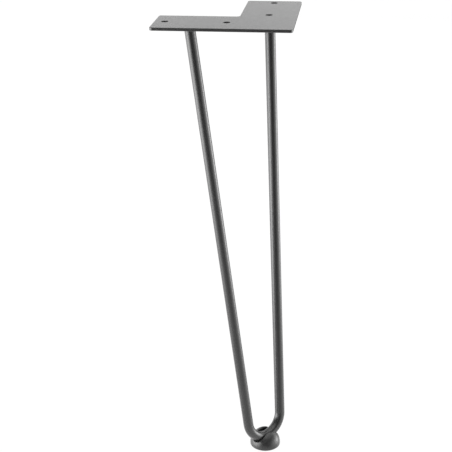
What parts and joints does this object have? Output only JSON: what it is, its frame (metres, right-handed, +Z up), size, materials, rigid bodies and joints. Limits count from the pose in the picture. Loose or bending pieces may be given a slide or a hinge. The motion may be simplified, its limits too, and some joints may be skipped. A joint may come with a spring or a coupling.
{
  "type": "hairpin furniture leg",
  "caption": "Leaning two-rod hairpin leg: L-shaped screw plate on top, round bar bent into a narrow U below it, and a slotted dome foot on the bend.",
  "frame": {"origin": "centre of the foot's flat underside, where the leg meets the floor", "axes": "+X from one arm of the bar to the other, +Y from the plate's outer corner towards its inner notch, +Z up to the furniture"},
  "size_m": [0.1656, 0.1163, 0.411],
  "materials": {
    "powder_coat": "satin black powder coat on steel",
    "foot_plastic": "satin black moulded plastic"
  },
  "bodies": {
    "root": {"mounting_plate": "powder_coat", "hairpin_rod": "powder_coat", "weld_left": "powder_coat", "weld_right": "powder_coat", "foot_glide": "foot_plastic"}
  },
  "joints": []
}
